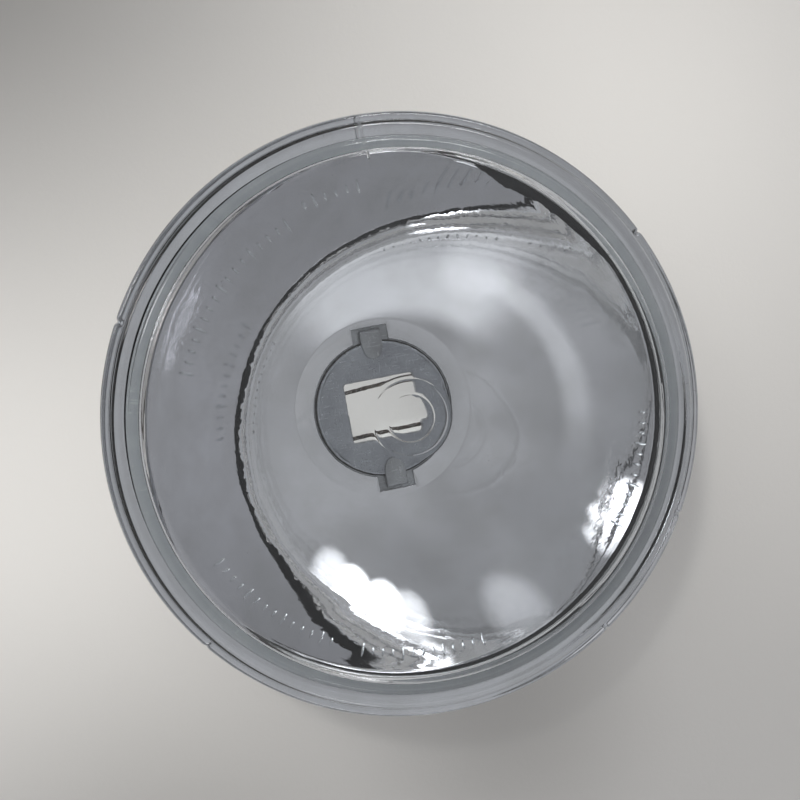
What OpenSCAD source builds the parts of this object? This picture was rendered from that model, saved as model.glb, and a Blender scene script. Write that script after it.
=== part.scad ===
// Optical unit of a round fog light. A pressed-glass lens is bonded to the
// flange of an aluminised steel reflector. A collar behind the reflector's
// rear hole clinches the bulb carrier with two tongues, and a wire clip,
// hinged on the collar, holds the bulb against the carrier.
// Every module works along the lamp's own axis: z points out of the lens and
// y points up. The last step turns that axis so that the beam leaves along -Y
// and +Z is up. The origin is the centre of the glass rim's rear face.

/* [Lens] */
// Outside diameter of the glass rim
lens_d = 146; // [130:1:180]
// Height of the straight outer wall of the rim
rim_h = 3; // [2:0.1:5]
// Rise of each step between the rim and the face
step_rise = 2; // [1.2:0.1:3]
// Width of the outer ledge
ledge_outer = 2.8; // [2:0.1:4]
// Width of the middle ledge
ledge_middle = 3.9; // [2:0.1:5]
// Width of the inner ledge
ledge_inner = 2.9; // [2:0.1:4]
// Lean of each riser, and fall of each ledge, for release from the mould
draft = 0.35; // [0.1:0.05:0.6]
// Crown of the face, from its edge to its middle
face_crown = 2.6; // [1:0.1:8]
// Thickness of the glass face
glass_t = 4.2; // [3:0.1:5]
// Width of the flat glass land behind the rim
land_w = 10; // [8:0.1:11]
// Lean of the glass wall inside the land, from the back to the face
inner_lean = 0.6; // [0.3:0.1:3]

/* [Seal] */
// Thickness of the bond between glass and reflector flange
seal_t = 0.5; // [0.3:0.1:1]
// Width of the bond
seal_w = 3.6; // [3:0.1:6]

/* [Reflector] */
// Focal length of the paraboloid
focal = 26.7; // [24:0.1:34]
// Thickness of the sheet
sheet_t = 0.8; // [0.6:0.1:1.2]
// How far the flange stays inside the edge of the glass
flange_inset = 0.8; // [0.5:0.1:3]
// How far the mouth of the bowl stays inside the glass wall
mouth_inset = 0.5; // [0.3:0.1:1]
// Diameter of the hole at the back
hole_d = 35.2; // [33:0.1:43]
// Width of the flat ring around the hole
seat_w = 4.9; // [4:0.1:7]
// Width of the two notches in the flat ring
notch_w = 9.2; // [8:0.1:12]
// Depth of the two notches, out from the hole
notch_d = 3.2; // [2.6:0.1:3.6]

/* [Collar] */
// Thickness of the collar's sheet
collar_t = 1; // [0.8:0.1:1.5]
// How far the collar reaches inside the reflector's hole
collar_lap = 2.6; // [2:0.1:3.2]
// How far the collar reaches past the flat ring
collar_overhang = 1.7; // [1.4:0.1:3]
// Height of the collar's turned outer wall
collar_h = 4; // [3:0.1:8]
// Width of each tongue
tongue_w = 5.4; // [4:0.1:7]
// Thickness of each tongue
tongue_t = 0.7; // [0.5:0.1:1]
// Gap between a tongue and the outer edge of its notch
tongue_gap = 0.6; // [0.3:0.1:1]
// How far each tongue lies over the carrier
tongue_reach = 4.3; // [3:0.1:5]

/* [Carrier] */
// Gap between the carrier and the reflector's hole
carrier_gap = 0.7; // [0.4:0.1:1]
// Thickness of the carrier's sheet
carrier_t = 0.8; // [0.6:0.1:1.2]
// Thickness of the gasket under the carrier
gasket_t = 0.5; // [0.3:0.1:1]
// Gap between the gasket and the reflector's hole
gasket_gap = 0.3; // [0.1:0.1:0.4]
// Width of the bulb window
window_w = 17.9; // [14:0.1:18.5]
// Height of the bulb window
window_h = 15.1; // [12:0.1:16]
// Radius of the window's corners
window_r = 0.8; // [0.4:0.1:2]
// Depth of the keying step at the window's right
key_d = 2; // [1:0.1:2.4]
// Height of the keying step
key_h = 6.5; // [4:0.1:8]
// Distance of the keying step's middle below the window's middle
key_drop = 1.6; // [0:0.1:2]
// Depth of the lips turned back around the window, behind the sheet
lip_h = 1.6; // [1:0.1:2.5]
// Thickness of the lips
lip_t = 0.7; // [0.5:0.1:0.8]

/* [Clip] */
// Diameter of the clip's wire
wire_d = 1; // [0.8:0.05:1.3]
// How far each leg stands inside the window's edge
leg_inset = 1.35; // [1:0.05:2]
// Radius of the wire's bends, on its centre line
bend_r = 1.3; // [1.1:0.1:2]
// Straight length of each free end beyond its bend
clip_end = 1.2; // [0.8:0.1:2]
// Running clearance between the wire and its knuckle
pin_gap = 0.05; // [0.03:0.01:0.08]
// Wall of the rolled knuckle
knuckle_t = 0.8; // [0.6:0.1:1]
// Length of the knuckle
knuckle_w = 6.4; // [5:0.1:8]
// Gap between the knuckle and the lip of the keying step
knuckle_gap = 0.9; // [0.5:0.1:2]

/* [Catches] */
// Gap between the free ends of the clip and the catches, all round
catch_gap = 0.35; // [0.3:0.05:0.6]
// How far each catch reaches over a sprung clip
catch_reach = 1.8; // [1:0.1:2.5]
// Thickness of the catches and the clip bracket
bracket_t = 0.8; // [0.6:0.1:1]
// Width of each catch
catch_w = 4; // [3:0.1:5]
// Gap between the wall of each catch and the head of its rivet
catch_room = 0.3; // [0.2:0.1:1]

/* [Earth blade] */
// How far the blade stands to the right of the lamp's middle
blade_x = 8.6; // [7.5:0.1:10]
// Width of the blade
blade_w = 6.3; // [4.8:0.1:6.3]
// Thickness of the blade
blade_t = 0.8; // [0.5:0.1:0.8]
// Length of the blade behind its foot
blade_l = 8.5; // [7:0.1:12]
// Diameter of the latching hole in the blade
blade_hole_d = 1.8; // [1.4:0.1:2]

/* [Rivets] */
// Diameter of the rivets
rivet_d = 1.8; // [1.5:0.1:2.2]
// Diameter of the rivet heads
rivet_head_d = 3.2; // [2.8:0.1:3.6]
// Height of the rivet heads
rivet_head_h = 0.8; // [0.6:0.1:1.2]
// Gap between a rivet and its hole
rivet_gap = 0.05; // [0.02:0.01:0.1]
// Metal left around a rivet head
pad_margin = 0.6; // [0.3:0.1:1]
// Gap between a riveted foot and the collar's wall
foot_gap = 0.2; // [0.1:0.1:0.5]

/* [Hidden] */
$fn = 96;
ARC_STEPS = 24;
OVER = 1;

// Lens
rim_r = lens_d / 2;
corner_outer = rim_r - ledge_outer;
corner_middle = corner_outer - ledge_middle;
face_r = corner_middle - ledge_inner;
face_z = rim_h + 3 * step_rise;
land_r = rim_r - land_w;
inner_face_r = land_r - inner_lean;
face_ball_r = (face_r * face_r + face_crown * face_crown) / (2 * face_crown);
face_ball_z = face_z + face_crown - face_ball_r;
function face_at(r) = face_ball_z + sqrt(face_ball_r * face_ball_r - r * r);

// Reflector
mouth_r = land_r - mouth_inset;
flange_r = rim_r - flange_inset;
mouth_z = -seal_t;
vertex_z = mouth_z - mouth_r * mouth_r / (4 * focal);
hole_r = hole_d / 2;
seat_r = hole_r + seat_w;
function bowl_at(r) = vertex_z + r * r / (4 * focal);
function bowl_slope(r) = atan(r / (2 * focal));
seat_z = bowl_at(seat_r);
seat_back_z = seat_z - sheet_t;

// Collar
collar_in_r = hole_r - collar_lap;
collar_r = seat_r + collar_overhang;
collar_wall_r = collar_r - collar_t;
collar_back_z = seat_back_z - collar_t;
tongue_r = hole_r + notch_d - tongue_gap;

// Carrier
carrier_r = hole_r - carrier_gap;
gasket_r = hole_r - gasket_gap;
carrier_back_z = seat_back_z + gasket_t;
carrier_face_z = carrier_back_z + carrier_t;
lip_end_z = carrier_back_z - lip_h;
tongue_tip_r = carrier_r - tongue_reach;

// Clip
wire_r = wire_d / 2;
knuckle_bore_r = wire_r + pin_gap;
knuckle_r = knuckle_bore_r + knuckle_t;
hinge_x = window_w / 2 + key_d + lip_t + knuckle_gap + knuckle_r;
hinge_z = collar_back_z - knuckle_r;
leg_y = window_h / 2 - leg_inset;
end_y = leg_y + bend_r + clip_end;

// Riveted feet
rivet_r = rivet_d / 2;
pad_r = rivet_head_d / 2 + pad_margin;
foot_r = collar_wall_r - foot_gap - pad_r;
foot_back_z = collar_back_z - bracket_t;
bracket_rivet_y = pad_r + 1.1;
bracket_rivet_x = sqrt(foot_r * foot_r - bracket_rivet_y * bracket_rivet_y);
catch_tip_y = end_y + catch_gap;
catch_wall_y = catch_tip_y + catch_reach;
catch_lip_z = hinge_z - wire_r - catch_gap;
catch_rivet_y = catch_wall_y + bracket_t + catch_room + rivet_head_d / 2;
catch_x = -sqrt(foot_r * foot_r - catch_rivet_y * catch_rivet_y);
clip_len = hinge_x - catch_x;
blade_y = sqrt(pow(collar_wall_r - foot_gap, 2) - pow(blade_x + blade_w / 2, 2));
earth_rivet_y = blade_y - blade_t - pad_r;

// Turns the lamp's axis from z to -Y, with its own y up.
module in_place() {
    rotate([90, 0, 0]) children();
}

// A flat ring between two radii, its front face at z.
module ring(outer_r, inner_r, thick, z) {
    translate([0, 0, z - thick])
        difference() {
            cylinder(r = outer_r, h = thick);
            translate([0, 0, -OVER]) cylinder(r = inner_r, h = thick + 2 * OVER);
        }
}

// The same thing above and below the lamp's axis.
module both_sides() {
    children();
    mirror([0, 1, 0]) children();
}

// ---- Lens ----

module lens() {
    crown = [for (i = [0:ARC_STEPS]) let (r = face_r * (1 - i / ARC_STEPS)) [r, face_at(r)]];
    hollow = [for (i = [0:ARC_STEPS]) let (r = inner_face_r * i / ARC_STEPS) [r, face_at(r) - glass_t]];
    steps = [
        [rim_r, 0],
        [rim_r, rim_h],
        [corner_outer + draft, rim_h + draft],
        [corner_outer, rim_h + step_rise],
        [corner_middle + draft, rim_h + step_rise + draft],
        [corner_middle, rim_h + 2 * step_rise],
        [face_r + draft, rim_h + 2 * step_rise + draft]
    ];
    color([0.8, 0.86, 0.9, 0.5])
        in_place()
            rotate_extrude()
                polygon(concat(steps, crown, hollow, [[land_r, 0]]));
}

module lens_seal() {
    color([0.05, 0.05, 0.06])
        in_place()
            ring(land_r + seal_w, land_r, seal_t, 0);
}

// ---- Reflector ----

module bowl_sheet() {
    inside = [for (i = [0:ARC_STEPS]) let (r = mouth_r + (seat_r - mouth_r) * i / ARC_STEPS) [r, bowl_at(r)]];
    outside = [for (i = [0:ARC_STEPS])
        let (r = seat_r + (mouth_r - seat_r) * i / ARC_STEPS, slope = bowl_slope(r))
        [r + sheet_t * sin(slope), max(seat_back_z, bowl_at(r) - sheet_t * cos(slope))]];
    rotate_extrude()
        polygon(concat(
            [[flange_r, mouth_z]],
            inside,
            [[hole_r, seat_z], [hole_r, seat_back_z], [seat_r, seat_back_z]],
            [for (p = outside) if (p[1] < mouth_z - sheet_t) p],
            [[mouth_r + sheet_t, mouth_z - sheet_t], [flange_r, mouth_z - sheet_t]]
        ));
}

module reflector() {
    notch_out = hole_r + notch_d;
    color([0.78, 0.79, 0.82])
        in_place()
            difference() {
                bowl_sheet();
                translate([-notch_w / 2, -notch_out, seat_back_z - OVER])
                    cube([notch_w, 2 * notch_out, sheet_t + 2 * OVER]);
            }
}

// ---- Collar, gasket and carrier ----

// One tongue: out through the notch, then folded over the carrier's edge.
module tongue() {
    top_z = carrier_face_z + tongue_t;
    translate([-tongue_w / 2, tongue_r - tongue_t, seat_back_z])
        cube([tongue_w, tongue_t, top_z - seat_back_z]);
    translate([0, 0, carrier_face_z])
        linear_extrude(tongue_t) {
            translate([-tongue_w / 2, tongue_tip_r + tongue_w / 2])
                square([tongue_w, tongue_r - tongue_tip_r - tongue_w / 2]);
            translate([0, tongue_tip_r + tongue_w / 2]) circle(d = tongue_w);
        }
}

module rivet_hole(x, y) {
    translate([x, y, collar_back_z - bracket_t - OVER])
        cylinder(r = rivet_r + rivet_gap, h = collar_t + bracket_t + 2 * OVER);
}

module all_rivet_holes() {
    both_sides() {
        rivet_hole(bracket_rivet_x, bracket_rivet_y);
        rivet_hole(catch_x, catch_rivet_y);
    }
    rivet_hole(blade_x, -earth_rivet_y);
}

module neck_collar() {
    color([0.62, 0.62, 0.6])
        in_place() {
            difference() {
                union() {
                    ring(collar_r, collar_in_r, collar_t, seat_back_z);
                    ring(collar_r, collar_wall_r, collar_h, seat_back_z);
                }
                all_rivet_holes();
            }
            both_sides() tongue();
        }
}

module carrier_gasket() {
    color([0.06, 0.06, 0.06])
        in_place()
            ring(gasket_r, collar_in_r, gasket_t, carrier_back_z);
}

// The window's outline, grown by a margin.
module window_outline(margin) {
    corner = window_r + margin;
    half_w = window_w / 2 - window_r;
    half_h = window_h / 2 - window_r;
    for (x = [-half_w, half_w], y = [-half_h, half_h])
        translate([x, y]) circle(r = corner);
    square([2 * half_w, 2 * (half_h + corner)], center = true);
    square([2 * (half_w + corner), 2 * half_h], center = true);
    translate([0, -key_drop - key_h / 2 - margin])
        square([window_w / 2 + key_d + margin, key_h + 2 * margin]);
}

module bulb_carrier() {
    color([0.5, 0.5, 0.53])
        in_place()
            difference() {
                union() {
                    translate([0, 0, carrier_back_z]) cylinder(r = carrier_r, h = carrier_t);
                    translate([0, 0, lip_end_z]) linear_extrude(lip_h + OVER / 2) window_outline(lip_t);
                }
                translate([0, 0, lip_end_z - OVER])
                    linear_extrude(lip_h + carrier_t + 2 * OVER) window_outline(0);
            }
}

// ---- Wire clip and what holds it ----

// A quarter bend of wire in the x-y plane, from +x round to +y about its own centre.
module wire_bend() {
    rotate_extrude(angle = 90) translate([bend_r, 0]) circle(r = wire_r);
}

module wire_x(x, y, length) {
    translate([x, y, 0]) rotate([0, 90, 0]) cylinder(r = wire_r, h = length);
}

module wire_y(x, y, length) {
    translate([x, y, 0]) rotate([-90, 0, 0]) cylinder(r = wire_r, h = length);
}

module bulb_clip() {
    color([0.55, 0.53, 0.5])
        in_place()
            translate([0, 0, hinge_z]) {
                wire_y(hinge_x, bend_r - leg_y, 2 * (leg_y - bend_r));
                both_sides() {
                    translate([hinge_x - bend_r, leg_y - bend_r, 0]) wire_bend();
                    wire_x(catch_x + bend_r, leg_y, clip_len - 2 * bend_r);
                    translate([catch_x + bend_r, leg_y + bend_r, 0]) rotate([0, 0, 180]) wire_bend();
                    wire_y(catch_x, leg_y + bend_r, clip_end);
                }
            }
}

// A rounded foot on the collar's back, holed for its rivet.
module pad(x, y) {
    translate([x, y, foot_back_z]) cylinder(r = pad_r, h = bracket_t);
}

module clip_bracket() {
    color([0.6, 0.6, 0.58])
        in_place()
            difference() {
                union() {
                    both_sides() pad(bracket_rivet_x, bracket_rivet_y);
                    translate([bracket_rivet_x - pad_r, -bracket_rivet_y, foot_back_z])
                        cube([2 * pad_r, 2 * bracket_rivet_y, bracket_t]);
                    translate([hinge_x, -knuckle_w / 2, foot_back_z])
                        cube([bracket_rivet_x - hinge_x, knuckle_w, bracket_t]);
                    translate([hinge_x, -knuckle_w / 2, hinge_z])
                        rotate([-90, 0, 0]) cylinder(r = knuckle_r, h = knuckle_w);
                }
                translate([hinge_x, -knuckle_w / 2 - OVER, hinge_z])
                    rotate([-90, 0, 0]) cylinder(r = knuckle_bore_r, h = knuckle_w + 2 * OVER);
                both_sides() rivet_hole(bracket_rivet_x, bracket_rivet_y);
            }
}

// The upper catch: a foot, a wall outside the clip's end, and a lip over it.
module catch() {
    color([0.6, 0.6, 0.58])
        difference() {
            union() {
                pad(catch_x, catch_rivet_y);
                translate([catch_x - catch_w / 2, catch_wall_y, foot_back_z])
                    cube([catch_w, catch_rivet_y - catch_wall_y, bracket_t]);
                translate([catch_x - catch_w / 2, catch_wall_y, catch_lip_z - bracket_t])
                    cube([catch_w, bracket_t, collar_back_z - catch_lip_z + bracket_t]);
                translate([catch_x - catch_w / 2, catch_tip_y, catch_lip_z - bracket_t])
                    cube([catch_w, catch_reach + bracket_t, bracket_t]);
            }
            rivet_hole(catch_x, catch_rivet_y);
        }
}

module catch_upper() {
    in_place() catch();
}

module catch_lower() {
    in_place() mirror([0, 1, 0]) catch();
}

module earth_blade() {
    tip = blade_w / 4;
    color([0.72, 0.66, 0.45])
        in_place()
            difference() {
                union() {
                    translate([blade_x - blade_w / 2, -blade_y, foot_back_z])
                        cube([blade_w, blade_y - earth_rivet_y + pad_r, bracket_t]);
                    translate([blade_x, blade_t - blade_y, foot_back_z])
                        rotate([90, 0, 0])
                            linear_extrude(blade_t)
                                polygon([
                                    [-blade_w / 2, 0], [blade_w / 2, 0],
                                    [blade_w / 2, tip - blade_l], [blade_w / 2 - tip, -blade_l],
                                    [tip - blade_w / 2, -blade_l], [-blade_w / 2, tip - blade_l]
                                ]);
                }
                translate([blade_x, blade_t - blade_y + OVER, foot_back_z - blade_l / 2])
                    rotate([90, 0, 0]) cylinder(d = blade_hole_d, h = blade_t + 2 * OVER);
                rivet_hole(blade_x, -earth_rivet_y);
            }
}

// ---- Rivets ----

// A rivet with a domed head behind its foot, staked flush in front.
module rivet(x, y) {
    head_r = rivet_head_d / 2;
    ball_r = (head_r * head_r + rivet_head_h * rivet_head_h) / (2 * rivet_head_h);
    color([0.68, 0.68, 0.66])
        translate([x, y, 0]) {
            translate([0, 0, foot_back_z]) cylinder(r = rivet_r, h = seat_back_z - foot_back_z);
            intersection() {
                translate([0, 0, foot_back_z + ball_r - rivet_head_h]) sphere(r = ball_r);
                translate([0, 0, foot_back_z - rivet_head_h]) cylinder(r = head_r + OVER, h = rivet_head_h);
            }
        }
}

module bracket_rivet_upper() {
    in_place() rivet(bracket_rivet_x, bracket_rivet_y);
}

module bracket_rivet_lower() {
    in_place() rivet(bracket_rivet_x, -bracket_rivet_y);
}

module catch_rivet_upper() {
    in_place() rivet(catch_x, catch_rivet_y);
}

module catch_rivet_lower() {
    in_place() rivet(catch_x, -catch_rivet_y);
}

module earth_rivet() {
    in_place() rivet(blade_x, -earth_rivet_y);
}

lens();
lens_seal();
reflector();
neck_collar();
carrier_gasket();
bulb_carrier();
bulb_clip();
clip_bracket();
bracket_rivet_upper();
bracket_rivet_lower();
catch_upper();
catch_lower();
catch_rivet_upper();
catch_rivet_lower();
earth_blade();
earth_rivet();
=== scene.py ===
"""The optical unit of a round fog light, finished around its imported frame."""
import math

import bmesh
import bpy
from mathutils import Matrix, Vector


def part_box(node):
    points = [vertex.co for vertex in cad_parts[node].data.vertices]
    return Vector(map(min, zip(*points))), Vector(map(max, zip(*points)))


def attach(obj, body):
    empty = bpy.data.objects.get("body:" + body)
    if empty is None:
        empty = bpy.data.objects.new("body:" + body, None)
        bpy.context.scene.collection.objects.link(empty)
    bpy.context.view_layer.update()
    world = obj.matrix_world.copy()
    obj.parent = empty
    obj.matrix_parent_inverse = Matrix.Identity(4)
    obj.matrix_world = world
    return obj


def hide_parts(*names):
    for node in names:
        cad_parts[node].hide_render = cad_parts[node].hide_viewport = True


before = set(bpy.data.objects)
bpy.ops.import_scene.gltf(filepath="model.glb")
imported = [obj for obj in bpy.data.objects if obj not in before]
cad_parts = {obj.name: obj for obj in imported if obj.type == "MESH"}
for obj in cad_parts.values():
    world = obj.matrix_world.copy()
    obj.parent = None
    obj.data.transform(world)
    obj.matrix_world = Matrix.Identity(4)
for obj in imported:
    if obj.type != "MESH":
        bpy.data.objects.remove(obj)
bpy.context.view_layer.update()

MM = 0.001
TURN_STEPS = 288


# ---- Sizes, in millimetres; forward is out of the lens, along -Y ----

def reach(node):
    """A node's radius from the lamp's axis, and its hindmost and foremost places, in millimetres."""
    low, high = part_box(node)
    return high.z / MM, -high.y / MM, -low.y / MM


RIM_R, _, LENS_FRONT = reach("lens")
FLANGE_R, SEAT_BACK, MOUTH = reach("reflector")
BEAD_R, BEAD_BACK, _ = reach("lens_seal")
COLLAR_R, COLLAR_END, TONGUE_TOP = reach("neck_collar")
GASKET_R, _, GASKET_TOP = reach("carrier_gasket")
CARRIER_R, LIP_END, CARRIER_FACE = reach("bulb_carrier")

SHEET_T = 0.8
RIM_H = 3.0
STEP_RISE = 2.0
LEDGES = (2.8, 3.9, 2.9)
GLASS_T = 4.2
LAND_W = 10.0
INNER_LEAN = 0.6
FOCAL = 26.7
MOUTH_INSET = 0.5
HOLE_R = 17.6
SEAT_W = 4.9
NOTCH_W = 9.2
NOTCH_D = 3.2
COLLAR_IN_R = 15.0
COLLAR_T = 1.0
TONGUE_W = 5.4
TONGUE_T = 0.7
TONGUE_GAP = 0.6
TONGUE_REACH = 4.3
TONGUE_BEND = 0.9
CARRIER_T = 0.8
WINDOW_W = 17.9
WINDOW_H = 15.1
KEY_D = 2.0
KEY_H = 6.5
KEY_DROP = 1.6
LIP_T = 0.7
WIRE_R = 0.5
LEG_UP = 6.2
BEND_R = 1.3
RIVET_HEAD_H = 0.8

# The glass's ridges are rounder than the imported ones: the foot of each wall stands out, and its top leans in.
RIDGE_FILLET = 2.4
FOOT_FILLET = 0.3
STEP_FOOT = 0.8
STEP_LEAN = 0.3

# Kept between two pieces' faces that touch, so that neither shows through the other.
CLEAR = 0.01

LAND_R = RIM_R - LAND_W
BOND_IN_R = LAND_R + 0.9
MOUTH_R = LAND_R - MOUTH_INSET
SEAT_R = HOLE_R + SEAT_W
VERTEX = MOUTH - MOUTH_R ** 2 / (4 * FOCAL)
FACE_R = RIM_R - sum(LEDGES)
FACE_EDGE = RIM_H + 3 * STEP_RISE
CROWN = LENS_FRONT - FACE_EDGE
BALL_R = (FACE_R ** 2 + CROWN ** 2) / (2 * CROWN)


def face_at(r):
    """How far forward the lens's front face stands at a radius."""
    return LENS_FRONT - BALL_R + math.sqrt(BALL_R ** 2 - r ** 2)


def bowl_at(r):
    """How far forward the mirror stands at a radius."""
    return VERTEX + r ** 2 / (4 * FOCAL)


# ---- Meshes ----

ON_AXIS = 1e-6
FILLETS_SHARE = 0.96


def in_frame(r, forward, angle=0.0):
    """A point given by radius, distance forward and turn about the lamp's axis, in the frame's metres."""
    return Vector((r * math.cos(angle), -forward, r * math.sin(angle))) * MM


def filleted(corners, steps=5):
    """An outline of (r, forward, fillet) corners, with each fillet drawn as an arc.

    Two fillets on one leg share it in proportion, so that neither runs into the other.
    """
    points = []
    count = len(corners)
    for i, (r, f, radius) in enumerate(corners):
        here = Vector((r, f))
        if radius <= 0:
            points.append(here)
            continue
        before, after = corners[i - 1], corners[(i + 1) % count]
        back = Vector(before[:2]) - here
        ahead = Vector(after[:2]) - here
        half = back.angle(ahead) / 2
        room = [FILLETS_SHARE * leg.length * radius / (radius + other[2])
                for leg, other in ((back, before), (ahead, after))]
        run = min(radius / math.tan(half), *room)
        centre = here + (back.normalized() + ahead.normalized()).normalized() * (run / math.cos(half))
        start = here + back.normalized() * run - centre
        end = here + ahead.normalized() * run - centre
        turn = start.angle_signed(end)
        for k in range(steps + 1):
            share = -turn * k / steps
            spun = Matrix.Rotation(share, 2) @ start
            points.append(centre + spun)
    return points


def in_scene(name, data):
    """A new object for some data, linked to the scene."""
    thing = bpy.data.objects.new(name, data)
    bpy.context.scene.collection.objects.link(thing)
    return thing


def new_piece(name, mesh, material_list, body="unit"):
    for m in material_list:
        mesh.materials.append(m)
    piece = in_scene(name, mesh)
    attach(piece, body)
    return piece


def even_turn(steps=TURN_STEPS):
    return [2 * math.pi * k / steps for k in range(steps)]


def finer_turn(places, half_width, steps=TURN_STEPS, share=12):
    """The angles of an even turn, with a finer row around each place. Takes degrees and gives radians."""
    angles = {round(math.degrees(a), 3) for a in even_turn(steps)}
    for place in places:
        angles |= {round((place + half_width * k / share) % 360, 3) for k in range(-share, share + 1)}
    return [math.radians(a) for a in sorted(angles)]


def turned_mesh(name, outline, angles=None, slot_of=None, shift=None):
    """Revolves a closed outline of (r, forward) points about the lamp's axis."""
    angles = angles or even_turn()
    steps = len(angles)
    verts, rows = [], []
    for i, (r, f) in enumerate(outline):
        if r < ON_AXIS:
            rows.append([len(verts)] * steps)
            verts.append(in_frame(0, f))
            continue
        rows.append(list(range(len(verts), len(verts) + steps)))
        for angle in angles:
            dr, df = shift(i, angle) if shift else (0, 0)
            verts.append(in_frame(r + dr, f + df, angle))
    faces, slots = [], []
    on_axis = outline[0][0] < ON_AXIS and outline[-1][0] < ON_AXIS
    pairs = list(zip(range(len(rows)), range(1, len(rows))))
    if not on_axis:
        pairs.append((len(rows) - 1, 0))
    for a, b in pairs:
        for k in range(steps):
            n = (k + 1) % steps
            corner = dict.fromkeys([rows[a][k], rows[a][n], rows[b][n], rows[b][k]])
            faces.append(list(corner))
            slots.append(slot_of(a, b) if slot_of else 0)
    mesh = bpy.data.meshes.new(name)
    mesh.from_pydata(verts, [], faces)
    mesh.polygons.foreach_set("material_index", slots)
    tidy_shell(mesh)
    return mesh


def tidy_shell(mesh):
    """Turns every face outwards and shades the shell smooth."""
    bm = bmesh.new()
    bm.from_mesh(mesh)
    bmesh.ops.recalc_face_normals(bm, faces=bm.faces)
    bm.to_mesh(mesh)
    bm.free()
    mesh.polygons.foreach_set("use_smooth", [True] * len(mesh.polygons))
    mesh.update()


# ---- Shader nodes, and groups that put out masks and heights over the surface ----

def new_group(name, inputs, outputs):
    """An empty shader group with float inputs {name: value} and float outputs."""
    group = bpy.data.node_groups.new(name, "ShaderNodeTree")
    for key, value in inputs.items():
        socket = group.interface.new_socket(name=key, in_out="INPUT", socket_type="NodeSocketFloat")
        socket.default_value = value
    for key in outputs:
        group.interface.new_socket(name=key, in_out="OUTPUT", socket_type="NodeSocketFloat")
    return group, group.nodes.new("NodeGroupInput"), group.nodes.new("NodeGroupOutput")


def joined_up(tree, chain):
    """Links each (socket out, socket in) pair of a chain."""
    for out_socket, in_socket in chain:
        tree.links.new(out_socket, in_socket)


def feed(tree, socket, value):
    """Gives a socket a value, which may itself be another node's socket."""
    if isinstance(value, bpy.types.NodeSocket):
        tree.links.new(value, socket)
    elif value is not None:
        socket.default_value = value


def calc(tree, operation, a, b=None, c=None):
    node = tree.nodes.new("ShaderNodeMath")
    node.operation = operation
    for socket, value in zip(node.inputs, (a, b, c)):
        feed(tree, socket, value)
    return node.outputs[0]


def vector_calc(tree, operation, a, b=None, scale=None):
    node = tree.nodes.new("ShaderNodeVectorMath")
    node.operation = operation
    feed(tree, node.inputs[0], a)
    feed(tree, node.inputs[1], b)
    if scale is not None:
        feed(tree, node.inputs["Scale"], scale)
    return node.outputs["Value" if operation in ("LENGTH", "DISTANCE", "DOT_PRODUCT") else "Vector"]


def spread(tree, value, low, high, from_low=0.0, from_high=1.0):
    """A value between from_low and from_high, spread smoothly from low to high."""
    node = tree.nodes.new("ShaderNodeMapRange")
    node.interpolation_type = "SMOOTHSTEP"
    for key, amount in (("Value", value), ("From Min", from_low), ("From Max", from_high),
                        ("To Min", low), ("To Max", high)):
        feed(tree, node.inputs[key], amount)
    return node.outputs["Result"]


def scaled_place(tree, scale, stretch=(1, 1, 1)):
    """Object coordinates in metres, times a scale, with each axis stretched."""
    place = tree.nodes.new("ShaderNodeTexCoord").outputs["Object"]
    return vector_calc(tree, "SCALE", vector_calc(tree, "MULTIPLY", place, stretch), scale=scale)


def axis_radius(tree):
    """The distance from the lamp's axis, in metres."""
    place = tree.nodes.new("ShaderNodeTexCoord").outputs["Object"]
    return vector_calc(tree, "LENGTH", vector_calc(tree, "MULTIPLY", place, (1, 0, 1)))


def noise(tree, place, detail=4.0, roughness=0.55):
    node = tree.nodes.new("ShaderNodeTexNoise")
    node.inputs["Scale"].default_value = 1.0
    node.inputs["Detail"].default_value = detail
    node.inputs["Roughness"].default_value = roughness
    tree.links.new(place, node.inputs["Vector"])
    return node.outputs["Fac"]


def make_grain_group():
    """Cloudy tone and fine grain of rolled, coated or moulded sheet."""
    group, start, end = new_group("sheet_grain", {"Cloud Scale": 120.0, "Grain Scale": 2500.0},
                                  ["Tone", "Grain"])
    joined_up(group, [
        (noise(group, scaled_place(group, start.outputs["Cloud Scale"]), 5.0), end.inputs["Tone"]),
        (noise(group, scaled_place(group, start.outputs["Grain Scale"]), 3.0, 0.7), end.inputs["Grain"]),
    ])
    return group


def make_scuff_group():
    """Short scuffs that cross each other in two directions."""
    group, start, end = new_group("fine_scuffs", {"Scale": 300.0, "Least": 0.62}, ["Mask"])
    one = noise(group, scaled_place(group, start.outputs["Scale"], (1, 8, 14)), 2.0)
    two = noise(group, scaled_place(group, start.outputs["Scale"], (12, 8, 1.2)), 2.0)
    most = calc(group, "MAXIMUM", one, two)
    above = calc(group, "ADD", start.outputs["Least"], 0.1)
    group.links.new(spread(group, most, 0.0, 1.0, start.outputs["Least"], above), end.inputs["Mask"])
    return group


def make_speck_group():
    """Dust and pinholes: small round specks, thicker in some places than in others."""
    group, start, end = new_group("specks", {"Scale": 900.0, "Size": 0.16}, ["Mask"])
    place = scaled_place(group, start.outputs["Scale"])
    cells = group.nodes.new("ShaderNodeTexVoronoi")
    cells.inputs["Scale"].default_value = 1.0
    group.links.new(place, cells.inputs["Vector"])
    drift = noise(group, scaled_place(group, calc(group, "MULTIPLY", start.outputs["Scale"], 0.05)), 3.0)
    size = calc(group, "MULTIPLY", start.outputs["Size"], spread(group, drift, 0.0, 1.6, 0.4, 0.7))
    inside = calc(group, "SUBTRACT", size, cells.outputs["Distance"])
    group.links.new(spread(group, inside, 0.0, 1.0, 0.0, 0.05), end.inputs["Mask"])
    return group


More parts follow.
